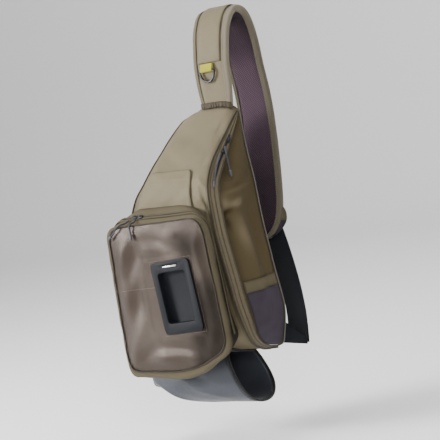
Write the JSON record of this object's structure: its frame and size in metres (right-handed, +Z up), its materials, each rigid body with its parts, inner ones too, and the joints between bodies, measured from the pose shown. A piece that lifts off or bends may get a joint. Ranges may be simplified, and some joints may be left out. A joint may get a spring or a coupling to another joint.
{
  "type": "fishing tackle sling bag",
  "caption": "Wedge-shaped cloth sling bag for fishing tackle with a zipped front pocket, moulded tool dock, padded shoulder strap and open bottle sleeve underneath.",
  "frame": {"origin": "underside of the highest point of the shoulder strap, where the bag hangs from a shoulder or a hook", "axes": "+Z up, -Y out of the front pocket, +X to the right seen from the front"},
  "size_m": [0.289, 0.2691, 0.681],
  "materials": {
    "shell_cloth": "fine coated weave, satin",
    "side_cloth": "fine coated weave, satin",
    "back_mesh": "padded mesh, matt",
    "face_cloth": "coated cloth, soft sheen",
    "piping_dark": "cloth covered cord",
    "piping_olive": "cloth covered cord",
    "zip_tape": "coated tape",
    "zip_coil": "moulded coil",
    "patch_felt": "felt, matt",
    "strap_mesh": "spacer mesh, matt",
    "binding": "woven tape",
    "moulded_black": "satin moulding",
    "pin_steel": "polished",
    "ring_metal": "gunmetal plating",
    "slider_metal": "dark plating",
    "pull_cord": "braided cord",
    "pull_tip": "moulded tip",
    "tab_webbing": "woven tape with a diagonal pattern",
    "webbing": "ribbed webbing",
    "sleeve_cloth": "coated cloth, soft sheen",
    "elastic": "elastic band"
  },
  "bodies": {
    "bag": {"front_panel": "shell_cloth", "slip_pocket": "shell_cloth", "zip_strip": "shell_cloth", "pocket_gusset": "shell_cloth", "strap_cover": "shell_cloth", "strap_overlay": "shell_cloth", "side_hem": "shell_cloth", "side_panel_right": "side_cloth", "side_panel_left": "side_cloth", "strap_foot_frill": "side_cloth", "strap_end_flap": "side_cloth", "back_panel": "back_mesh", "pocket_face": "face_cloth", "front_piping_left": "piping_dark", "front_piping_right": "piping_dark", "pocket_piping": "piping_dark", "back_piping": "piping_olive", "pocket_zip": "zip_tape", "main_zip_coil": "zip_coil", "fly_patch": "patch_felt", "strap_pad": "strap_mesh", "strap_binding_left": "binding", "strap_binding_right": "binding", "dock_tray": "moulded_black", "dock_pin": "pin_steel", "slider_main_upper": "slider_metal", "slider_main_lower": "slider_metal", "slider_pocket_right": "slider_metal", "slider_pocket_left": "slider_metal", "pull_cord_main_upper": "pull_cord", "pull_cord_main_lower": "pull_cord", "pull_cord_pocket_right": "pull_cord", "pull_cord_pocket_left": "pull_cord", "pull_tip_main_upper": "pull_tip", "pull_tip_main_lower": "pull_tip", "pull_tip_pocket_right": "pull_tip", "pull_tip_pocket_left": "pull_tip", "ring_tab": "tab_webbing", "side_webbing": "webbing", "bottle_sleeve": "sleeve_cloth", "sleeve_band": "elastic"},
    "ring": {"d_ring": "ring_metal"}
  },
  "joints": [
    {"name": "d_ring_swing", "type": "hinge", "parent": "bag", "child": "ring", "pos_m": [-0.011, -0.05525, -0.08991], "axis": [-1, 0, 0], "range_deg": [0, 150]}
  ]
}
